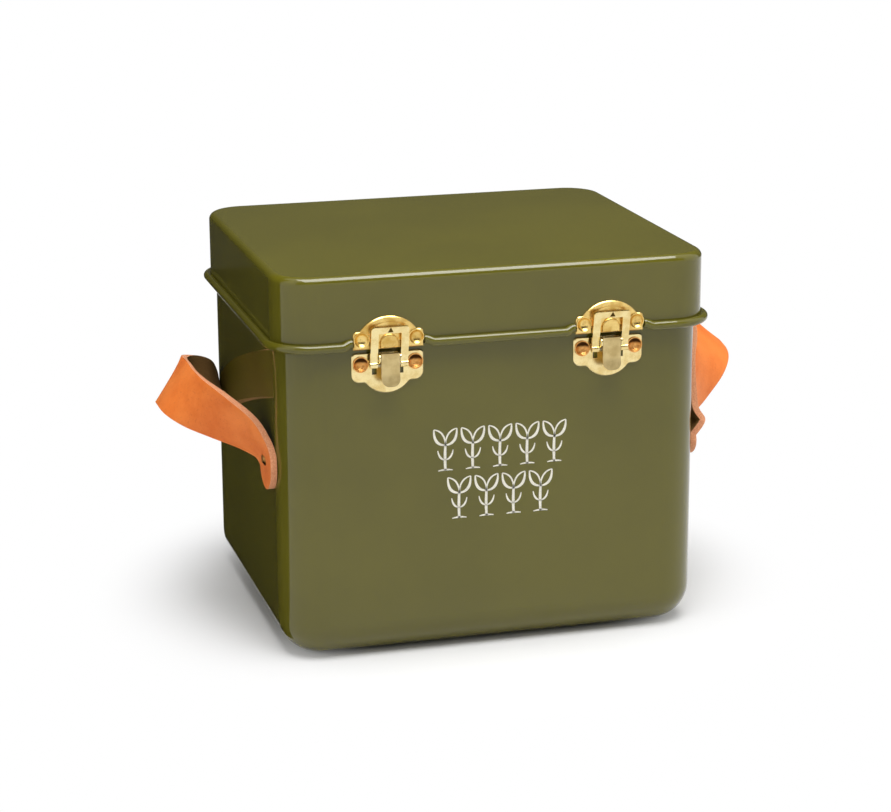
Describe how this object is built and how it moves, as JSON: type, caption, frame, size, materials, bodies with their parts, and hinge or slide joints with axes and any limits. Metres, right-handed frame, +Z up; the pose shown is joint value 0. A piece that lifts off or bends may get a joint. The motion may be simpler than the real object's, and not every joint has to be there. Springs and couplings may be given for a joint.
{
  "type": "seed organizer box",
  "caption": "Painted tin organizer box with a hinged lid, toggle latches, leather end handles, a centre partition and tabbed divider cards for seed packets.",
  "frame": {"origin": "centre of the underside of the tub", "axes": "+X to the right of someone facing the latches, +Y to the hinges, +Z up"},
  "size_m": [0.286, 0.1873, 0.1805],
  "materials": {
    "paint": "gloss olive paint on tin plate",
    "brass": "polished pale brass",
    "rivet_brass": "polished warm brass",
    "steel": "plain",
    "leather": "waxed tan",
    "card": "uncoated board"
  },
  "bodies": {
    "tub": {"tub_shell": "paint", "centre_partition": "paint", "latch_base_rivets": "rivet_brass", "hinge_tub_rivets": "rivet_brass", "latch_base_left": "brass", "latch_lever_pin_left": "steel", "hinge_tub_leaf_left": "brass", "hinge_pin_left": "steel", "strap_tails_left": "leather", "strap_washers_left": "steel", "strap_rivets_left": "rivet_brass", "latch_base_right": "brass", "latch_lever_pin_right": "steel", "hinge_tub_leaf_right": "brass", "hinge_pin_right": "steel", "strap_tails_right": "leather", "strap_washers_right": "steel", "strap_rivets_right": "rivet_brass"},
    "lid": {"lid_shell": "paint", "latch_keeper_rivets": "rivet_brass", "hinge_lid_rivets": "rivet_brass", "latch_keeper_left": "brass", "hinge_lid_leaf_left": "brass", "latch_keeper_right": "brass", "hinge_lid_leaf_right": "brass"},
    "latch_lever_left": {"latch_lever_left": "brass", "latch_link_pin_left": "steel"},
    "latch_link_left": {"latch_link_left": "brass"},
    "strap_loop_left": {"strap_loop_left": "leather"},
    "latch_lever_right": {"latch_lever_right": "brass", "latch_link_pin_right": "steel"},
    "latch_link_right": {"latch_link_right": "brass"},
    "strap_loop_right": {"strap_loop_right": "leather"},
    "card_01": {"card_01": "card"},
    "card_02": {"card_02": "card"},
    "card_03": {"card_03": "card"},
    "card_04": {"card_04": "card"},
    "card_05": {"card_05": "card"},
    "card_06": {"card_06": "card"},
    "card_07": {"card_07": "card"},
    "card_08": {"card_08": "card"},
    "card_09": {"card_09": "card"},
    "card_10": {"card_10": "card"},
    "card_11": {"card_11": "card"},
    "card_12": {"card_12": "card"}
  },
  "joints": [
    {"name": "lid_hinge", "type": "hinge", "parent": "tub", "child": "lid", "pos_m": [0, 0.0907, 0.1455], "axis": [-1, 0, 0], "range_deg": [0, 110]},
    {"name": "latch_lever_left_pivot", "type": "hinge", "parent": "tub", "child": "latch_lever_left", "pos_m": [-0.052, -0.0909, 0.1429], "axis": [-1, 0, 0], "range_deg": [0, 130]},
    {"name": "latch_link_left_pivot", "type": "hinge", "parent": "latch_lever_left", "child": "latch_link_left", "pos_m": [-0.052, -0.0892, 0.1396], "axis": [-1, 0, 0], "range_deg": [-143, 0]},
    {"name": "latch_lever_right_pivot", "type": "hinge", "parent": "tub", "child": "latch_lever_right", "pos_m": [0.052, -0.0909, 0.1429], "axis": [-1, 0, 0], "range_deg": [0, 130]},
    {"name": "latch_link_right_pivot", "type": "hinge", "parent": "latch_lever_right", "child": "latch_link_right", "pos_m": [0.052, -0.0892, 0.1396], "axis": [-1, 0, 0], "range_deg": [-143, 0]},
    {"name": "strap_left_flex", "type": "hinge", "parent": "tub", "child": "strap_loop_left", "pos_m": [-0.103, 0, 0.0985], "axis": [0, 1, 0], "range_deg": [-15, 20], "stiffness_Nm_per_rad": 0.3},
    {"name": "strap_right_flex", "type": "hinge", "parent": "tub", "child": "strap_loop_right", "pos_m": [0.103, 0, 0.0985], "axis": [0, -1, 0], "range_deg": [-15, 20], "stiffness_Nm_per_rad": 0.3},
    {"name": "card_01_lean", "type": "hinge", "parent": "tub", "child": "card_01", "pos_m": [-0.0498, -0.06, 0.0011], "axis": [1, 0, 0], "range_deg": [-4, 4]},
    {"name": "card_02_lean", "type": "hinge", "parent": "tub", "child": "card_02", "pos_m": [-0.0498, -0.036, 0.0011], "axis": [1, 0, 0], "range_deg": [-4, 4]},
    {"name": "card_03_lean", "type": "hinge", "parent": "tub", "child": "card_03", "pos_m": [-0.0498, -0.012, 0.0011], "axis": [1, 0, 0], "range_deg": [-4, 4]},
    {"name": "card_04_lean", "type": "hinge", "parent": "tub", "child": "card_04", "pos_m": [-0.0498, 0.012, 0.0011], "axis": [1, 0, 0], "range_deg": [-4, 4]},
    {"name": "card_05_lean", "type": "hinge", "parent": "tub", "child": "card_05", "pos_m": [-0.0498, 0.036, 0.0011], "axis": [1, 0, 0], "range_deg": [-4, 4]},
    {"name": "card_06_lean", "type": "hinge", "parent": "tub", "child": "card_06", "pos_m": [-0.0498, 0.06, 0.0011], "axis": [1, 0, 0], "range_deg": [-4, 4]},
    {"name": "card_07_lean", "type": "hinge", "parent": "tub", "child": "card_07", "pos_m": [0.0498, -0.06, 0.0011], "axis": [1, 0, 0], "range_deg": [-4, 4]},
    {"name": "card_08_lean", "type": "hinge", "parent": "tub", "child": "card_08", "pos_m": [0.0498, -0.036, 0.0011], "axis": [1, 0, 0], "range_deg": [-4, 4]},
    {"name": "card_09_lean", "type": "hinge", "parent": "tub", "child": "card_09", "pos_m": [0.0498, -0.012, 0.0011], "axis": [1, 0, 0], "range_deg": [-4, 4]},
    {"name": "card_10_lean", "type": "hinge", "parent": "tub", "child": "card_10", "pos_m": [0.0498, 0.012, 0.0011], "axis": [1, 0, 0], "range_deg": [-4, 4]},
    {"name": "card_11_lean", "type": "hinge", "parent": "tub", "child": "card_11", "pos_m": [0.0498, 0.036, 0.0011], "axis": [1, 0, 0], "range_deg": [-4, 4]},
    {"name": "card_12_lean", "type": "hinge", "parent": "tub", "child": "card_12", "pos_m": [0.0498, 0.06, 0.0011], "axis": [1, 0, 0], "range_deg": [-4, 4]}
  ],
  "couplings": [
    {"joint": "latch_link_left_pivot", "follows": "latch_lever_left_pivot", "ratio": -1.1},
    {"joint": "latch_link_right_pivot", "follows": "latch_lever_right_pivot", "ratio": -1.1}
  ]
}
